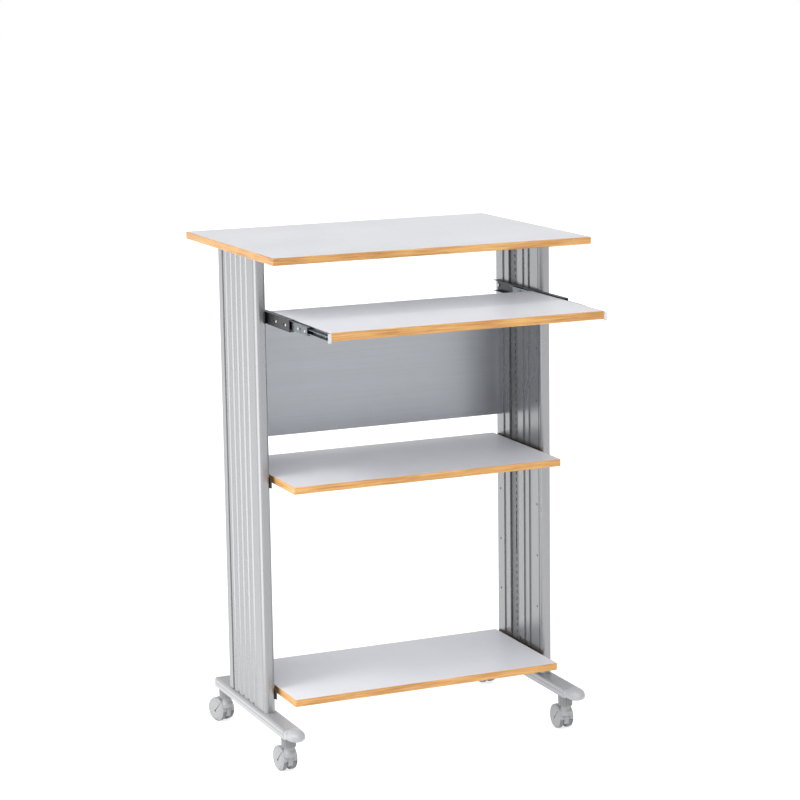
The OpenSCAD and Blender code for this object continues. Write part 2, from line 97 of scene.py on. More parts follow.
class Shade:
    """A material's node tree, built step by step around its Principled shader."""

    def __init__(self, name, roughness, metallic=0.0, **fixed):
        self.material = bpy.data.materials.new(name)
        self.material.use_nodes = True
        self.tree = self.material.node_tree
        self.shader = self.tree.nodes["Principled BSDF"]
        self.set("Roughness", roughness)
        self.set("Metallic", metallic)
        for socket, value in fixed.items():
            self.set(socket.replace("_", " "), value)
        self.place = self.tree.nodes.new("ShaderNodeTexCoord").outputs["Object"]

    def set(self, socket, value):
        self.shader.inputs[socket].default_value = value

    def link(self, source, socket):
        self.tree.links.new(source, socket)

    def scaled(self, scale):
        """Object coordinates in metres, times scale along each axis."""
        node = self.tree.nodes.new("ShaderNodeVectorMath")
        node.operation = "MULTIPLY"
        self.link(self.place, node.inputs[0])
        node.inputs[1].default_value = scale
        return node.outputs[0]

    def along_edge(self, along, across):
        """Coordinates that run along a board's edge, whichever side it is on."""
        split = self.tree.nodes.new("ShaderNodeSeparateXYZ")
        self.link(self.place, split.inputs[0])
        run = self.math("ADD", split.outputs["X"], split.outputs["Y"])
        gap = self.math("SUBTRACT", split.outputs["X"], split.outputs["Y"])
        join = self.tree.nodes.new("ShaderNodeCombineXYZ")
        self.link(self.math("MULTIPLY", run, along), join.inputs["X"])
        self.link(self.math("MULTIPLY", split.outputs["Z"], across), join.inputs["Y"])
        self.link(self.math("MULTIPLY", gap, along), join.inputs["Z"])
        return join.outputs[0]

    def math(self, operation, a, b):
        node = self.tree.nodes.new("ShaderNodeMath")
        node.operation = operation
        for value, socket in ((a, node.inputs[0]), (b, node.inputs[1])):
            if isinstance(value, (int, float)):
                socket.default_value = value
            else:
                self.link(value, socket)
        return node.outputs[0]

    def noise(self, scale, detail=3.0, rough=0.5):
        """Noise between 0 and 1, with scale cells per metre along X, Y and Z."""
        return self.noise_at(self.scaled(scale), detail, rough)

    def noise_at(self, place, detail, rough):
        """Noise between 0 and 1 at coordinates that are scaled already."""
        node = self.tree.nodes.new("ShaderNodeTexNoise")
        node.inputs["Scale"].default_value = 1.0
        node.inputs["Detail"].default_value = detail
        node.inputs["Roughness"].default_value = rough
        self.link(place, node.inputs["Vector"])
        return node.outputs["Fac"]

    def stretch(self, value, low, high, to_low=0.0, to_high=1.0):
        node = self.tree.nodes.new("ShaderNodeMapRange")
        self.link(value, node.inputs["Value"])
        node.inputs["From Min"].default_value = low
        node.inputs["From Max"].default_value = high
        node.inputs["To Min"].default_value = to_low
        node.inputs["To Max"].default_value = to_high
        return node.outputs["Result"]

    def ramp(self, value, *stops):
        node = self.tree.nodes.new("ShaderNodeValToRGB")
        self.link(value, node.inputs["Fac"])
        elements = node.color_ramp.elements
        while len(elements) < len(stops):
            elements.new(0.5)
        for element, (position, colour) in zip(elements, stops):
            element.position = position
            element.color = (*colour, 1.0)
        return node.outputs["Color"]

    def mix(self, factor, a, b, blend="MIX"):
        node = self.tree.nodes.new("ShaderNodeMix")
        node.data_type = "RGBA"
        node.blend_type = blend
        for value, socket in ((factor, 0), (a, 6), (b, 7)):
            if isinstance(value, (int, float)):
                node.inputs[socket].default_value = value
            elif isinstance(value, tuple):
                node.inputs[socket].default_value = (*value, 1.0)
            else:
                self.link(value, node.inputs[socket])
        return node.outputs[2]

    def highlight_edge_mask(self, radius, low, high):
        """1 on outer edges, 0 on flat faces, from the difference of two normals; it places painted highlights on
        edges.
        """
        bevel = self.tree.nodes.new("ShaderNodeBevel")
        bevel.samples = 4
        bevel.inputs["Radius"].default_value = radius
        geometry = self.tree.nodes.new("ShaderNodeNewGeometry")
        dot = self.tree.nodes.new("ShaderNodeVectorMath")
        dot.operation = "DOT_PRODUCT"
        self.link(bevel.outputs[0], dot.inputs[0])
        self.link(geometry.outputs["Normal"], dot.inputs[1])
        return self.stretch(dot.outputs["Value"], high, low)

    def colour(self, source):
        self.link(source, self.shader.inputs["Base Color"])

    def roughness(self, value, low, high):
        self.link(self.stretch(value, 0.3, 0.7, low, high), self.shader.inputs["Roughness"])

    def bump(self, *heights):
        """Relief from (height, depth in metres) pairs, one on top of the other."""
        normal = None
        for height, depth in heights:
            node = self.tree.nodes.new("ShaderNodeBump")
            node.inputs["Strength"].default_value = 1.0
            node.inputs["Distance"].default_value = depth
            self.link(height, node.inputs["Height"])
            if normal:
                self.link(normal, node.inputs["Normal"])
            normal = node.outputs["Normal"]
        self.link(normal, self.shader.inputs["Normal"])


def laminate():
    """Pale grey laminate: fine print speckle, faint clouds, a slightly embossed face."""
    shade = Shade("laminate", 0.36, Coat_Weight=0.12, Coat_Roughness=0.25)
    cloud = shade.noise((5, 5, 5), 4)
    speckle = shade.noise((900, 900, 900), 2, 0.7)
    smudge = shade.noise((16, 9, 16), 5, 0.6)
    base = shade.ramp(cloud, (0.3, (0.69, 0.69, 0.72)), (0.7, (0.73, 0.73, 0.755)))
    dark = shade.stretch(speckle, 0.3, 0.5, 0.16, 0.0)
    shade.colour(shade.mix(dark, base, (0.42, 0.43, 0.47)))
    shade.roughness(smudge, 0.30, 0.42)
    shade.bump((shade.noise((420, 420, 420), 2), 0.00002), (speckle, 0.00001))
    return shade.material


def oak_edge():
    """Oak-tone banding: long streaks, growth lines and short pores along the edge, with a painted highlight along
    its rounded arrises.
    """
    shade = Shade("oak_edge", 0.42, Coat_Weight=0.15, Coat_Roughness=0.3)
    drift = shade.noise_at(shade.along_edge(5, 30), 3, 0.5)
    streaks = shade.noise_at(shade.along_edge(9, 420), 6, 0.62)
    lines = shade.noise_at(shade.along_edge(3, 1100), 3, 0.55)
    pores = shade.noise_at(shade.along_edge(160, 2600), 2, 0.5)
    tone = shade.math("ADD", shade.math("MULTIPLY", drift, 0.35), shade.math("MULTIPLY", streaks, 0.65))
    wood = shade.ramp(
        tone,
        (0.34, (0.30, 0.125, 0.03)),
        (0.46, (0.50, 0.24, 0.062)),
        (0.56, (0.64, 0.345, 0.105)),
        (0.70, (0.76, 0.47, 0.175)),
    )
    grown = shade.mix(shade.stretch(lines, 0.5, 0.68, 0.0, 0.5), wood, (0.52, 0.24, 0.08))
    grained = shade.mix(shade.stretch(pores, 0.36, 0.26, 0.0, 0.7), grown, (0.30, 0.13, 0.045))
    # Painted highlight: the rounded arrises are lightened towards pale tan, as a lit edge looks.
    arris_highlight = shade.math("MULTIPLY", shade.highlight_edge_mask(HIGHLIGHT_EDGE_RADIUS, 0.80, 0.99), 0.6)
    shade.colour(shade.mix(arris_highlight, grained, (0.88, 0.70, 0.42)))
    shade.roughness(streaks, 0.36, 0.50)
    shade.bump((streaks, 0.00004), (pores, 0.00005))
    return shade.material


def extruded(name, tone, along, roughness=(0.24, 0.32), metallic=0.8):
    """Silver satin coat on an extrusion, with faint die lines along one axis."""
    shade = Shade(name, 0.36, metallic, Coat_Weight=0.1, Coat_Roughness=0.3)
    lines_scale = [700.0] * 3
    lines_scale["XYZ".index(along)] = 1.5
    lines = shade.noise(lines_scale, 3, 0.6)
    cloud = shade.noise((14, 14, 5), 4)
    grain = shade.noise((2600, 2600, 2600), 2, 0.6)
    base = shade.ramp(cloud, (0.3, toned(tone, 0.94)), (0.7, tone))
    shaded = shade.mix(shade.stretch(lines, 0.42, 0.64, 0.0, 0.14), base, toned(tone, 0.7))
    flecks = shade.stretch(grain, 0.58, 0.72, 0.0, 0.25)
    shade.colour(shade.mix(flecks, shaded, toned(tone, 1.25)))
    shade.roughness(cloud, *roughness)
    shade.bump((lines, 0.000012), (grain, 0.000006))
    return shade.material


def panel_grey():
    """Blue-grey metallic paint on sheet steel, with flakes and a faint brushed drift."""
    shade = Shade("panel_grey", 0.34, 0.65, Coat_Weight=0.2, Coat_Roughness=0.15)
    brushed = shade.noise((3, 3, 260), 3, 0.6)
    flakes = shade.noise((3200, 3200, 3200), 1, 0.5)
    cloud = shade.noise((6, 6, 6), 3)
    base = shade.ramp(cloud, (0.3, (0.37, 0.385, 0.41)), (0.7, (0.42, 0.435, 0.46)))
    lined = shade.mix(shade.stretch(brushed, 0.4, 0.65, 0.0, 0.2), base, (0.30, 0.315, 0.335))
    shade.colour(shade.mix(shade.stretch(flakes, 0.56, 0.7, 0.0, 0.3), lined, (0.62, 0.66, 0.72)))
    shade.roughness(cloud, 0.30, 0.40)
    shade.bump((brushed, 0.000008), (flakes, 0.000006))
    return shade.material


def powder(name, tone, roughness):
    """Powder coat: orange peel with fine grit."""
    shade = Shade(name, roughness)
    peel = shade.noise((700, 700, 700), 2)
    grit = shade.noise((3000, 3000, 3000), 2, 0.6)
    base = shade.ramp(peel, (0.35, tone), (0.65, toned(tone, 1.35)))
    shade.colour(shade.mix(shade.stretch(grit, 0.6, 0.75, 0.0, 0.3), base, toned(tone, 3)))
    shade.roughness(peel, roughness - 0.07, roughness + 0.07)
    shade.bump((peel, 0.00004), (grit, 0.00001))
    return shade.material


def plated(name, low, high, along, roughness, lip=None):
    """Plated steel: rolling lines along one axis and cloudy spangle; lighter in front of lip."""
    shade = Shade(name, roughness, 1.0)
    lines_scale = [900.0] * 3
    if along:
        lines_scale["XYZ".index(along)] = 8.0
    lines = shade.noise(lines_scale, 3, 0.6)
    spangle = shade.noise((130, 130, 130), 4, 0.65)
    base = shade.ramp(spangle, (0.3, low), (0.7, high))
    lined = shade.mix(shade.stretch(lines, 0.4, 0.7, 0.0, 0.35), base, toned(low, 0.55))
    if lip:
        split = shade.tree.nodes.new("ShaderNodeSeparateXYZ")
        shade.link(shade.place, split.inputs[0])
        lined = shade.mix(shade.stretch(split.outputs["Y"], lip, lip - MM), lined, LIP_TONE)
    shade.colour(lined)
    shade.roughness(spangle, roughness - 0.08, roughness + 0.10)
    shade.bump((lines, 0.00001), (spangle, 0.00002))
    return shade.material


def moulded(name, tone, roughness, texture=0.00003):
    """Moulded plastic: spark-eroded texture, faint flow clouds and handling marks."""
    shade = Shade(name, roughness, Coat_Weight=0.15, Coat_Roughness=0.2)
    flow = shade.noise((60, 60, 60), 4, 0.55)
    texture_cells = shade.noise((1500, 1500, 1500), 2, 0.6)
    marks = shade.noise((240, 240, 60), 3, 0.7)
    base = shade.ramp(flow, (0.3, toned(tone, 0.93)), (0.7, tone))
    shade.colour(shade.mix(shade.stretch(marks, 0.62, 0.8, 0.0, 0.2), base, toned(tone, 0.6)))
    shade.roughness(flow, roughness - 0.06, roughness + 0.08)
    shade.bump((texture_cells, texture))
    return shade.material


def make_materials():
    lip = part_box("slide_inner_left")[0].y + LIP_DEPTH
    return {
        "laminate": laminate(),
        "oak_edge": oak_edge(),
        "column_silver": extruded("column_silver", COLUMN_TONE, "Z"),
        "foot_silver": extruded("foot_silver", FOOT_TONE, "Y", (0.30, 0.42), 0.5),
        "strip_steel": powder("strip_steel", (0.16, 0.16, 0.165), 0.5),
        "panel_grey": panel_grey(),
        "black_steel": powder("black_steel", (0.025, 0.026, 0.028), 0.5),
        "slide_dark": plated("slide_dark", (0.02, 0.022, 0.025), (0.05, 0.055, 0.06), "Y", 0.32),
        "slide_zinc": plated("slide_zinc", (0.10, 0.12, 0.13), (0.22, 0.25, 0.27), "Y", 0.30, lip),
        "screw_steel": plated("screw_steel", (0.45, 0.45, 0.44), (0.62, 0.62, 0.62), None, 0.28),
        "socket_plastic": moulded("socket_plastic", (0.03, 0.03, 0.032), 0.5),
        "cap_plastic": moulded("cap_plastic", (0.38, 0.385, 0.40), 0.26, 0.000012),
        "stem_steel": plated("stem_steel", (0.28, 0.28, 0.29), (0.42, 0.42, 0.43), "Z", 0.32),
        "caster_plastic": moulded("caster_plastic", (0.31, 0.314, 0.322), 0.36, 0.00002),
        "wheel_grey": moulded("wheel_grey", (0.21, 0.213, 0.22), 0.45),
    }


MATERIALS = make_materials()


def dress_nodes():
    """Gives every CAD node the material of its slot in the record."""
    for part in frame["record"]["subparts"]:
        node = frame["nodes"][part["node"]]
        material = MATERIALS[part["material_slot"]]
        if not node.material_slots:
            node.data.materials.append(material)
        for slot in node.material_slots:
            slot.material = material


# ---------------------------------------------------------------- mesh helpers


def fillet(corners, steps):
    """A closed outline from corners (x, y, radius), each rounded by an arc."""
    outline = []
    for i, (x, y, radius) in enumerate(corners):
        here = Vector((x, y))
        before = (Vector(corners[i - 1][:2]) - here).normalized()
        after = (Vector(corners[(i + 1) % len(corners)][:2]) - here).normalized()
        if radius <= 0:
            outline.append(here)
            continue
        half = before.angle(after) / 2
        centre = here + (before + after).normalized() * (radius / math.sin(half))
        start = here + before * (radius / math.tan(half)) - centre
        end = here + after * (radius / math.tan(half)) - centre
        turn = start.angle_signed(end)
        for k in range(steps + 1):
            spin = Matrix.Rotation(-turn * k / steps, 2)
            outline.append(centre + spin @ start)
    return outline


def loft(bm, rings, wrap=False):
    """Skins closed rings of points with quads, then closes its ends or wraps round."""
    rows = [[bm.verts.new(point) for point in ring] for ring in rings]
    pairs = list(zip(rows, rows[1:]))
    if wrap:
        pairs.append((rows[-1], rows[0]))
    count = len(rows[0])
    for low, high in pairs:
        for i in range(count):
            j = (i + 1) % count
            bm.faces.new((low[i], low[j], high[j], high[i]))
    if not wrap:
        bm.faces.new(reversed(rows[0]))
        bm.faces.new(rows[-1])


def add_piece(name, bm, slot, body, nodes=(), matrix=None, sharp=35):
    """Turns a bmesh into a piece that rides on a body and may stand for CAD nodes."""
    bmesh.ops.remove_doubles(bm, verts=bm.verts, dist=1e-7)
    bmesh.ops.recalc_face_normals(bm, faces=bm.faces)
    mesh = bpy.data.meshes.new(name)
    bm.to_mesh(mesh)
    bm.free()
    for polygon in mesh.polygons:
        polygon.use_smooth = True
    mesh.set_sharp_from_angle(angle=math.radians(sharp))
    mesh.materials.append(MATERIALS[slot])
    piece = bpy.data.objects.new(name, mesh)
    bpy.context.scene.collection.objects.link(piece)
    if matrix:
        piece.matrix_world = matrix
    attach(piece, body)
    if nodes:
        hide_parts(*nodes)
    return piece


def soften(node, width, angle=32):
    """Rounds a CAD node's sharp edges with modifiers, so its own mesh stays as it is."""
    piece = frame["nodes"][node]
    weld = piece.modifiers.new("weld", "WELD")
    weld.merge_threshold = 1e-6
    flat = piece.modifiers.new("flat", "DECIMATE")
    flat.decimate_type = "DISSOLVE"
    flat.angle_limit = math.radians(0.2)
    bevel = piece.modifiers.new("bevel", "BEVEL")
    bevel.width = width
    bevel.segments = 2
    bevel.limit_method = "ANGLE"
    bevel.angle_limit = math.radians(angle)
    bevel.miter_outer = "MITER_ARC"
    normals = piece.modifiers.new("normals", "WEIGHTED_NORMAL")
    normals.keep_sharp = True
    normals.weight = 80


# ---------------------------------------------------------------- boards

BAND = 1.5 * MM
CORNER = 3 * MM
CORNER_STEPS = 6
ARRIS = 0.9 * MM
JOINT = 0.15 * MM
END_EASE = 0.3 * MM


def corner_ring(low, high, inset, radius):
    """Points round a flat rectangle with round corners, drawn in by inset."""
    keep = max(radius - inset, 0.05 * MM)
    points = []
    for sx, sy, start in ((1, 1, 0), (-1, 1, 90), (-1, -1, 180), (1, -1, 270)):
        cx = (high.x if sx > 0 else low.x) - sx * radius
        cy = (high.y if sy > 0 else low.y) - sy * radius
        for k in range(CORNER_STEPS + 1):
            a = math.radians(start + 90 * k / CORNER_STEPS)
            points.append((cx + keep * math.cos(a), cy + keep * math.sin(a)))
    return points


def board(node, body, radius):
    """Laminated board with a hairline joint all round its faces."""
    low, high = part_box(node)
    bm = bmesh.new()
    levels = ((low.z, JOINT), (low.z + JOINT, 0), (high.z - JOINT, 0), (high.z, JOINT))
    loft(bm, [[(x, y, z) for x, y in corner_ring(low, high, inset, radius)] for z, inset in levels])
    add_piece(node + "_panel", bm, "laminate", body, [node])


def band_section(thickness):
    """Section of the banding: (depth in from the outer face, height), arrises rounded."""
    corners = ((0, 0, ARRIS), (BAND, 0, JOINT), (BAND, thickness, JOINT), (0, thickness, ARRIS))
    return [(p.x, p.y) for p in fillet(corners, 5)]


def ring_band(node, body):
    """Banding that runs round a board."""
    low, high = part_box(node)
    bm = bmesh.new()
    section = band_section(high.z - low.z)
    rings = []
    for depth, height in section:
        ring = corner_ring(low, high, depth, CORNER)
        rings.append([(x, y, low.z + height) for x, y in ring])
    loft(bm, rings, wrap=True)
    add_piece(node + "_strip", bm, "oak_edge", body, [node])


def straight_band(node, body):
    """Banding along the front of the pull-out shelf."""
    low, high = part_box(node)
    bm = bmesh.new()
    section = band_section(high.z - low.z)
    ends = ((low.x, END_EASE), (low.x + END_EASE, 0), (high.x - END_EASE, 0), (high.x, END_EASE))
    middle = (high.z - low.z) / 2
    rings = []
    for x, inset in ends:
        shrink = 1 - inset / middle
        rings.append([(x, low.y + depth, low.z + middle + (h - middle) * shrink) for depth, h in section])
    loft(bm, rings)
    add_piece(node + "_strip", bm, "oak_edge", body, [node])


def make_boards():
    for name in ("worktop", "middle_shelf", "printer_shelf"):
        board(name, "root", CORNER - BAND)
        ring_band(name + "_edge_band", "root")
    board("keyboard_shelf", "keyboard_shelf", END_EASE)
    straight_band("keyboard_shelf_edge_band", "keyboard_shelf")


# ---------------------------------------------------------------- frame parts


def soften_frame():
    for side in SIDES:
        soften("column_" + side, 0.35 * MM, angle=18)
        soften("foot_" + side, 0.4 * MM)
        soften("slot_strip_" + side, 0.2 * MM)
        soften("top_bracket_" + side, 0.4 * MM)
        for level in ("middle", "printer"):
            soften(f"{level}_bracket_{side}", 0.5 * MM)
    soften("back_panel", 0.5 * MM)
    soften("caster_sockets", 0.5 * MM)
    soften("foot_bolts", 0.3 * MM)
    for corner in CORNERS:
        soften("caster_axle_" + corner, 0.4 * MM)


CAP_SEAM = 0.5 * MM
CAP_START = 0.05 * MM
CAP_EDGE = 0.9 * MM
CAP_NECK = 0.93
DOME_SWELL = 0.42
DOME_STEPS = 20
BLEND_STEPS = 8
CAP_POINTS = 72
RAIL_CROWN = 6 * MM
RAIL_FOOT = 2 * MM


def rail_outline(half_w, half_h):
    """Section of a foot rail as CAP_POINTS points round its centre, at even angles."""
    corners = ((-half_w, -half_h, RAIL_FOOT), (half_w, -half_h, RAIL_FOOT))
    corners += ((half_w, half_h, RAIL_CROWN), (-half_w, half_h, RAIL_CROWN))
    outline = fillet(corners, 6)
    points = []
    for k in range(CAP_POINTS):
        a = 2 * math.pi * (k + 0.5) / CAP_POINTS
        ray = Vector((math.cos(a), math.sin(a)))
        reach = 0
        for start, end in zip(outline, outline[1:] + outline[:1]):
            edge = end - start
            cross = ray.x * edge.y - ray.y * edge.x
            if abs(cross) < 1e-12:
                continue
            along = (start.x * edge.y - start.y * edge.x) / cross
            share = (start.x * ray.y - start.y * ray.x) / cross
            if along > 0 and -1e-6 <= share <= 1 + 1e-6:
                reach = max(reach, along)
        points.append(ray * reach)
    return points


def foot_cap(corner):
    """Cap over a rail's end: a seam, then a dome in front or a plate with a round rim behind."""
    node = "foot_cap_" + corner
    low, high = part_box(node)
    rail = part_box("foot_" + corner.split("_")[1])
    front = corner.startswith("front")
    start = rail[0].y if front else rail[1].y
    reach = (start - low.y) if front else (high.y - start)
    out = -1 if front else 1
    half_w, half_h = (rail[1].x - rail[0].x) / 2, (rail[1].z - rail[0].z) / 2
    centre_x, centre_z = (rail[0].x + rail[1].x) / 2, (rail[0].z + rail[1].z) / 2
    outline = rail_outline(half_w, half_h)
    rise = (high.z - centre_z) / half_h
    wide = (high.x - low.x) / 2 / half_w

    def ring(along, size, blend):
        """Outline at a distance along the cap: size shrinks it, blend makes it oval."""
        points = []
        for point in outline:
            unit = point.normalized()
            up = rise if unit.y > 0 else 1.0
            oval = Vector((unit.x * half_w * wide, unit.y * half_h * up))
            mixed = point.lerp(oval, blend) * size
            mixed.y = max(mixed.y, -half_h)
            points.append((centre_x + mixed.x, start + out * along, centre_z + mixed.y))
        return points

    rings = [ring(CAP_START, CAP_NECK, 0), ring(CAP_SEAM, CAP_NECK, 0)]
    rings += [ring(CAP_SEAM, 0.985, 0), ring(CAP_EDGE, 1.0, 0)]
    if front:
        swell = DOME_SWELL * reach
        for k in range(1, BLEND_STEPS + 1):
            t = k / BLEND_STEPS
            blend = math.sin(t * math.pi / 2) ** 0.8
            rings.append(ring(CAP_EDGE + (swell - CAP_EDGE) * t, 1.0, blend))
        for k in range(1, DOME_STEPS):
            a = math.pi / 2 * k / DOME_STEPS
            rings.append(ring(swell + (reach - swell) * math.sin(a), math.cos(a), 1.0))
    else:
        rim = reach - CAP_SEAM
        for k in range(1, BLEND_STEPS + 1):
            a = math.pi / 2 * k / BLEND_STEPS
            along = CAP_SEAM + rim * (0.4 + 0.58 * math.sin(a))
            rings.append(ring(along, 0.87 + 0.13 * math.cos(a), 0))
        rings.append(ring(reach, 0.5, 0.3))
    bm = bmesh.new()
    loft(bm, rings)
    add_piece(node + "_shell", bm, "cap_plastic", "root", [node], sharp=50)


# ---------------------------------------------------------------- solids cut and joined


def revolve(profile, count):
    """Solid of revolution about X from a closed or axis-to-axis profile of (x, radius)."""
    bm = bmesh.new()
    rings = []
    for k in range(count):
        a = 2 * math.pi * k / count
        rings.append([(x, r * math.cos(a), r * math.sin(a)) for x, r in profile])
    loft(bm, rings, wrap=True)
    bmesh.ops.remove_doubles(bm, verts=bm.verts, dist=1e-7)
    bmesh.ops.recalc_face_normals(bm, faces=bm.faces)
    return bm


def block(low, high):
    bm = bmesh.new()
    bmesh.ops.create_cube(bm, size=1)
    for vert in bm.verts:
        vert.co = [lo + (c + 0.5) * (hi - lo) for c, lo, hi in zip(vert.co, low, high)]
    return bm


def moved(bm, matrix):
    bmesh.ops.transform(bm, matrix=matrix, verts=bm.verts)
    return bm


def combine(base, steps):
    """Boolean result of a bmesh with a list of (operation, bmesh)."""
    scene = bpy.context.scene.collection
    made = []
    for bm in [base] + [tool for _, tool in steps]:
        mesh = bpy.data.meshes.new("cut")
        bm.to_mesh(mesh)
        bm.free()
        made.append(bpy.data.objects.new("cut", mesh))
        scene.objects.link(made[-1])
    for (operation, _), tool in zip(steps, made[1:]):
        modifier = made[0].modifiers.new("cut", "BOOLEAN")
        modifier.operation = operation
        modifier.solver = "EXACT"
        modifier.object = tool
    graph = bpy.context.evaluated_depsgraph_get()
    result = bmesh.new()
    result.from_mesh(made[0].evaluated_get(graph).to_mesh())
    for item in made:
        mesh = item.data
        bpy.data.objects.remove(item)
        bpy.data.meshes.remove(mesh)
    bmesh.ops.remove_doubles(result, verts=result.verts, dist=1e-6)
    bmesh.ops.dissolve_degenerate(result, dist=1e-6, edges=result.edges)
    return result


# ---------------------------------------------------------------- slide fittings

RIVET_R = 3.2 * MM
RIVET_RISE = 1.0 * MM
RIVET_ROOT = 0.4 * MM
RIVET_RIM = 0.25 * RIVET_RISE
RIVETS = (("outer", "root", (22, 78)), ("middle", "slide_middle", (14, 52)))


def rivet(name, body, sign, face_x, y, z):
    """Domed rivet head on a rail's face, with a straight rim."""
    profile = [(-RIVET_ROOT, 0.0), (-RIVET_ROOT, RIVET_R), (RIVET_RIM, RIVET_R)]
    for k in range(1, 6):
        a = math.pi / 2 * k / 6
        dome = (RIVET_RISE - RIVET_RIM) * math.sin(a)
        profile.append((RIVET_RIM + dome, RIVET_R * math.cos(a)))
    profile.append((RIVET_RISE, 0.0))
    bm = revolve([(sign * x, r) for x, r in profile], 32)
    add_piece(name, bm, "screw_steel", body, (), Matrix.Translation((sign * face_x, y, z)))


def make_rivets():
    """Rivets near the front ends of the outer and middle rails."""
    for side in SIDES:
        sign = -1 if side == "left" else 1
        for rail, body, places in RIVETS:
            low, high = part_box(f"slide_{rail}_{side}")
            face = max(abs(low.x), abs(high.x))
            middle = (low.z + high.z) / 2
            for i, along in enumerate(places):
                name = f"slide_{rail}_rivet_{side}_{i}"
                rivet(name, body, sign, face, low.y + along * MM, middle)


# ---------------------------------------------------------------- casters

HOOD_R = 28 * MM
HOOD_X = 18.5 * MM
HOOD_Z = 28.5 * MM
HOOD_ROOM_R = 26 * MM
HOOD_BOTTOM = 5 * MM
WEB_BOTTOM = 14 * MM
ROOM_TOP = 26 * MM
CHEEK_IN = 16 * MM
WEB_X = 5.5 * MM
AXLE_Z = 25 * MM
AXLE_HOLE_R = 3.0 * MM
TRAIL = 20 * MM
BOSS_TOP = 58 * MM
SEAM_HALF = 1.0 * MM
SEAM_TURN = math.radians(40)
CUT_FRONT, CUT_REAR, CUT_LOW = -60 * MM, 90 * MM, -40 * MM
WHEEL_GAP = 0.4 * MM
WHEEL_HALF = 4.75
TREAD_ARC = (0.3, 0.6, 0.9, 1.25, 1.57)
COLLAR_LOW = 58.5 * MM
COLLAR_POINTS = 168
COLLAR_FLUTES = 14
PIN_R = 4 * MM
PIN_TIP_R = 3.2 * MM
PIN_CHAMFER = 0.8 * MM
PIN_LOW, PIN_HIGH = 35 * MM, 99 * MM


def caster_place(corner):
    """Matrix from a caster's own axes, X along its axle, to the frame's."""
    swivel = JOINTS["caster_swivel_" + corner]["pos_m"]
    axle = JOINTS[f"wheel_spin_{corner}_left"]["axis"]
    turn = Matrix.Rotation(math.atan2(axle[1], axle[0]), 4, "Z")
    return Matrix.Translation((swivel[0], swivel[1], 0)) @ turn


def mirrored(profile):
    """A profile of (x, radius) continued by its mirror image, so that it closes."""
    return profile + [(-x, r) for x, r in reversed(profile)]


def across(x, front, rear, low, high):
    """Block from x[0] to x[1] in either order."""
    left, right = sorted(x)
    return block((left, front, low), (right, rear, high))


def hood_mesh():
    """Twin-wheel hood: domed cheeks with a rim line and a seam, and a ribbed crown."""
    at_hood = Matrix.Translation((0, TRAIL, HOOD_Z))
    at_axle = Matrix.Translation((0, TRAIL, AXLE_Z))
    side = [(-HOOD_X, 0.0), (-HOOD_X, 8 * MM), (-18.35 * MM, 15 * MM), (-18.0 * MM, 21 * MM)]
    side += [(-17.9 * MM, 22 * MM), (-17.3 * MM, 22.3 * MM), (-17.3 * MM, 22.9 * MM)]
    side += [(-17.75 * MM, 23.2 * MM)]
    side += [
        (-(14.3 + 3.3 * math.cos(a)) * MM, (24.7 + 3.3 * math.sin(a)) * MM)
        for a in [math.pi / 2 * k / 7 for k in range(8)]
    ]
    for x in (7.4, 6.2):
        side += [(-(x + 0.5) * MM, HOOD_R), (-(x + 0.3) * MM, 27.5 * MM)]
        side += [(-(x - 0.3) * MM, 27.5 * MM), (-(x - 0.5) * MM, HOOD_R)]
    body = moved(revolve(mirrored(side), 96), at_hood)
    steps = []
    boss = [(0.0, 0.0), (0.0, 10.2 * MM), (0.8 * MM, 11 * MM), (6 * MM, 11 * MM)]
    boss += [(9 * MM, 12.2 * MM), (12 * MM, 15 * MM), (22 * MM, 15 * MM), (22 * MM, 0.0)]
    down = Matrix.Translation((0, 0, BOSS_TOP)) @ Matrix.Rotation(math.pi / 2, 4, "Y")
    steps.append(("UNION", moved(revolve(boss, 48), down)))
    wheel_room = [(WEB_X, 0.0), (WEB_X, HOOD_ROOM_R), (CHEEK_IN, HOOD_ROOM_R), (CHEEK_IN, 0.0)]
    for sign in (-1, 1):
        room = revolve([(sign * x, r) for x, r in wheel_room], 72)
        steps.append(("DIFFERENCE", moved(room, at_hood)))
        below = across((sign * WEB_X, sign * CHEEK_IN), CUT_FRONT, CUT_REAR, CUT_LOW, ROOM_TOP)
        steps.append(("DIFFERENCE", below))
    for half, top in ((WEB_X, WEB_BOTTOM), (40 * MM, HOOD_BOTTOM)):
        below = across((-half, half), CUT_FRONT, CUT_REAR, CUT_LOW, top)
        steps.append(("DIFFERENCE", below))
    end = 30 * MM
    hole = [(-end, 0.0), (-end, AXLE_HOLE_R), (end, AXLE_HOLE_R), (end, 0.0)]
    steps.append(("DIFFERENCE", moved(revolve(hole, 32), at_axle)))
    tilt = Matrix.Rotation(SEAM_TURN, 4, "X")
    for sign in (-1, 1):
        faces = (sign * 16.7 * MM, sign * 20 * MM)
        seam = across(faces, -SEAM_HALF, SEAM_HALF, 2.5 * MM, 40 * MM)
        steps.append(("DIFFERENCE", moved(seam, at_axle @ tilt)))
    return combine(body, steps)


def collar_ring(radius, z, depth):
    """Outline of the fluted collar at one height."""
    ring = []
    for k in range(COLLAR_POINTS):
        a = 2 * math.pi * k / COLLAR_POINTS
        groove = max(0.0, math.cos(COLLAR_FLUTES * a)) ** 4
        r = radius - depth * groove
        ring.append((r * math.cos(a), r * math.sin(a), z))
    return ring


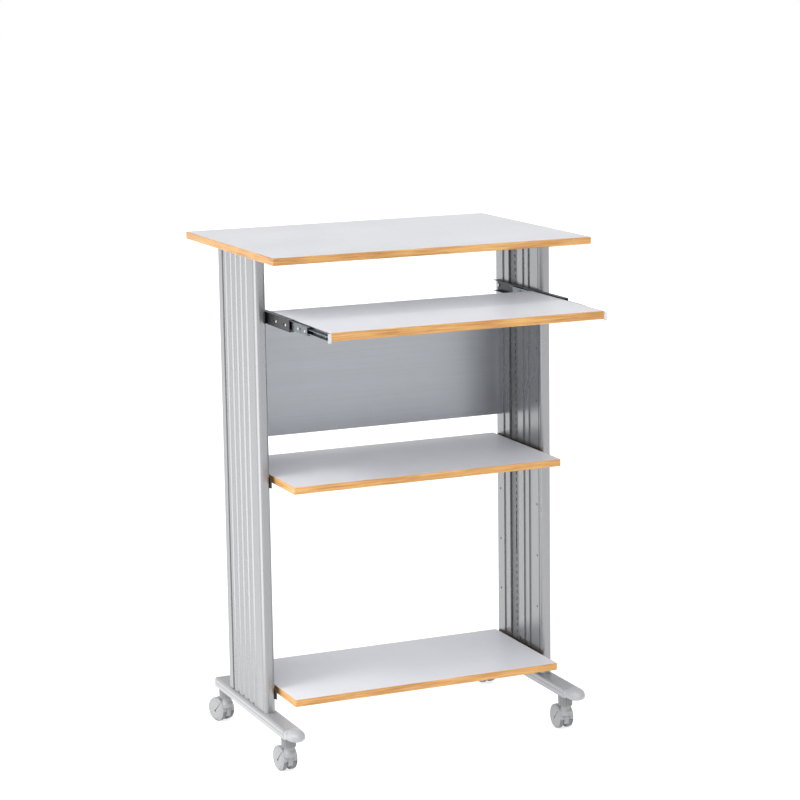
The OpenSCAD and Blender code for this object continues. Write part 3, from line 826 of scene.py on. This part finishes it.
def caster_collar(corner, place):
    """Fluted collar under the foot rail, and the steel pin that runs through it."""
    low, high = COLLAR_LOW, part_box("foot_left")[0].z
    levels = ((low, 14.6, 0), (low + 0.4 * MM, 15.6, 0), (low + 1.4 * MM, 16, 0))
    levels += ((low + 2.6 * MM, 16, 0.2), (low + 3.6 * MM, 16.1, 1.1))
    levels += ((high - 4 * MM, 16.8, 1.1), (high - 3 * MM, 16.9, 0.2), (high - 2 * MM, 17, 0))
    levels += ((high, 17, 0),)
    bm = bmesh.new()
    loft(bm, [collar_ring(radius * MM, z, depth * MM) for z, radius, depth in levels])
    add_piece(f"caster_collar_{corner}", bm, "wheel_grey", "root", ["caster_stem_" + corner], place)
    profile = [(-PIN_HIGH, 0.0), (-PIN_HIGH, PIN_TIP_R), (-PIN_HIGH + PIN_CHAMFER, PIN_R)]
    profile += [(-PIN_LOW - PIN_CHAMFER, PIN_R), (-PIN_LOW, PIN_TIP_R), (-PIN_LOW, 0.0)]
    upright = place @ Matrix.Rotation(math.pi / 2, 4, "Y")
    add_piece(f"caster_pin_{corner}", revolve(profile, 32), "stem_steel", "root", (), upright)


def wheel_profile():
    """Half of a wheel's section, from its hub's face to the middle of the tread."""
    half = WHEEL_HALF
    points = [(half, 3.05), (half, 7.4), (half - 0.5, 8), (half - 1.4, 8.3), (half - 1.5, 8.8)]
    points += [(half - 1.5, 19.8), (half - 1.3, 20.4), (half - 0.4, 20.8), (half, 21.4)]
    points += [(half - 1.6 + 1.6 * math.cos(a), 23.4 + 1.6 * math.sin(a)) for a in TREAD_ARC]
    for x in (2.2, 0.9):
        points += [(x + 0.35, 25), (x + 0.2, 24.6), (x - 0.2, 24.6), (x - 0.35, 25)]
    return [(x * MM, r * MM) for x, r in points]


def caster_wheel(corner, side, place):
    name = f"wheel_{corner}_{side}"
    sign = -1 if side == "left" else 1
    middle = sign * (WEB_X + WHEEL_GAP + WHEEL_HALF * MM)
    bm = revolve(mirrored(wheel_profile()), 96)
    matrix = place @ Matrix.Translation((middle, TRAIL, AXLE_Z))
    add_piece(name + "_tyre", bm, "wheel_grey", name, [name], matrix, 40)


def make_casters():
    hood = hood_mesh()
    for corner in CORNERS:
        place = caster_place(corner)
        node = "caster_hood_" + corner
        add_piece(node + "_shell", hood.copy(), "caster_plastic", "caster_" + corner, [node], place, 30)
        caster_collar(corner, place)
        for side in SIDES:
            caster_wheel(corner, side, place)
        foot_cap(corner)
    hood.free()


# ---------------------------------------------------------------- stage

FLOOR_HALF = 40
FLOOR_GLOW = 0.70
WORLD_LEAN = (-0.15, -0.15, 0.8)
WORLD_TINT = (0.97, 0.985, 1.0)
WORLD_DIM = 0.12
WORLD_BRIGHT = 0.95
KEY_TRAVEL = (0.5, 0.1, -0.85)
KEY_STRENGTH = 0.9
KEY_SOFTNESS = 20
STRIP_PLACE = (-1.15, 0.14, 0.62)
STRIP_SIZE = (1.1, 1.3)
STRIP_RADIANCE = 1.55
FILL_TRAVEL = (0.25, 0.75, -0.6)
FILL_STRENGTH = 1.2
FILL_SOFTNESS = 60


def strip_light(name, place, towards, size, radiance):
    """Upright softbox that lights the stand and shows in its metal, but not to the camera."""
    data = bpy.data.lights.new(name, "AREA")
    data.shape = "RECTANGLE"
    data.size, data.size_y = size
    data.energy = radiance * math.pi * size[0] * size[1]
    light = bpy.data.objects.new(name, data)
    bpy.context.scene.collection.objects.link(light)
    turn = Vector(towards).to_track_quat("-Z", "Y").to_matrix().to_4x4()
    light.matrix_world = Matrix.Translation(place) @ turn
    light.visible_camera = False


def make_world():
    """Studio surround: bright above and to the left, dim to the right; seen as plain white."""
    world = bpy.data.worlds.new("studio")
    world.use_nodes = True
    tree = world.node_tree
    background = tree.nodes["Background"]
    place = tree.nodes.new("ShaderNodeTexCoord")
    lean = tree.nodes.new("ShaderNodeVectorMath")
    lean.operation = "DOT_PRODUCT"
    lean.inputs[1].default_value = WORLD_LEAN
    tree.links.new(place.outputs["Generated"], lean.inputs[0])
    ramp = tree.nodes.new("ShaderNodeMapRange")
    tree.links.new(lean.outputs["Value"], ramp.inputs["Value"])
    ramp.inputs["From Min"].default_value = -1.0
    ramp.inputs["To Min"].default_value = WORLD_DIM
    ramp.inputs["To Max"].default_value = WORLD_BRIGHT
    tree.links.new(ramp.outputs["Result"], background.inputs["Strength"])
    background.inputs["Color"].default_value = (*WORLD_TINT, 1.0)
    white = tree.nodes.new("ShaderNodeBackground")
    white.inputs["Color"].default_value = (1, 1, 1, 1)
    path = tree.nodes.new("ShaderNodeLightPath")
    choose = tree.nodes.new("ShaderNodeMixShader")
    tree.links.new(path.outputs["Is Camera Ray"], choose.inputs["Fac"])
    tree.links.new(background.outputs[0], choose.inputs[1])
    tree.links.new(white.outputs[0], choose.inputs[2])
    tree.links.new(choose.outputs[0], tree.nodes["World Output"].inputs["Surface"])
    bpy.context.scene.world = world


def sun_light(name, travel, strength, softness):
    """Parallel light that travels in a direction; softness is its angle in degrees."""
    data = bpy.data.lights.new(name, "SUN")
    data.energy = strength
    data.angle = math.radians(softness)
    light = bpy.data.objects.new(name, data)
    bpy.context.scene.collection.objects.link(light)
    light.matrix_world = Vector(travel).to_track_quat("-Z", "Y").to_matrix().to_4x4()


def make_floor():
    """Plain pale floor, lit from below like a light table so that it stays white."""
    bm = bmesh.new()
    bmesh.ops.create_grid(bm, x_segments=1, y_segments=1, size=FLOOR_HALF)
    mesh = bpy.data.meshes.new("floor")
    bm.to_mesh(mesh)
    bm.free()
    shade = Shade("floor_white", 0.8, Specular_IOR_Level=0.0, Emission_Strength=FLOOR_GLOW)
    shade.set("Emission Color", (1, 1, 1, 1))
    tone = shade.ramp(shade.noise((2, 2, 2)), (0.3, (0.52, 0.52, 0.52)), (0.7, (0.55, 0.55, 0.55)))
    shade.colour(tone)
    mesh.materials.append(shade.material)
    floor = bpy.data.objects.new("floor", mesh)
    bpy.context.scene.collection.objects.link(floor)


def make_stage():
    make_world()
    bpy.context.scene.view_settings.view_transform = "Standard"
    make_floor()
    sun_light("key", KEY_TRAVEL, KEY_STRENGTH, KEY_SOFTNESS)
    strip_light("strip", STRIP_PLACE, (1, 0, 0), STRIP_SIZE, STRIP_RADIANCE)
    sun_light("fill", FILL_TRAVEL, FILL_STRENGTH, FILL_SOFTNESS)


make_camera()
dress_nodes()
make_boards()
soften_frame()
make_rivets()
make_casters()
make_stage()
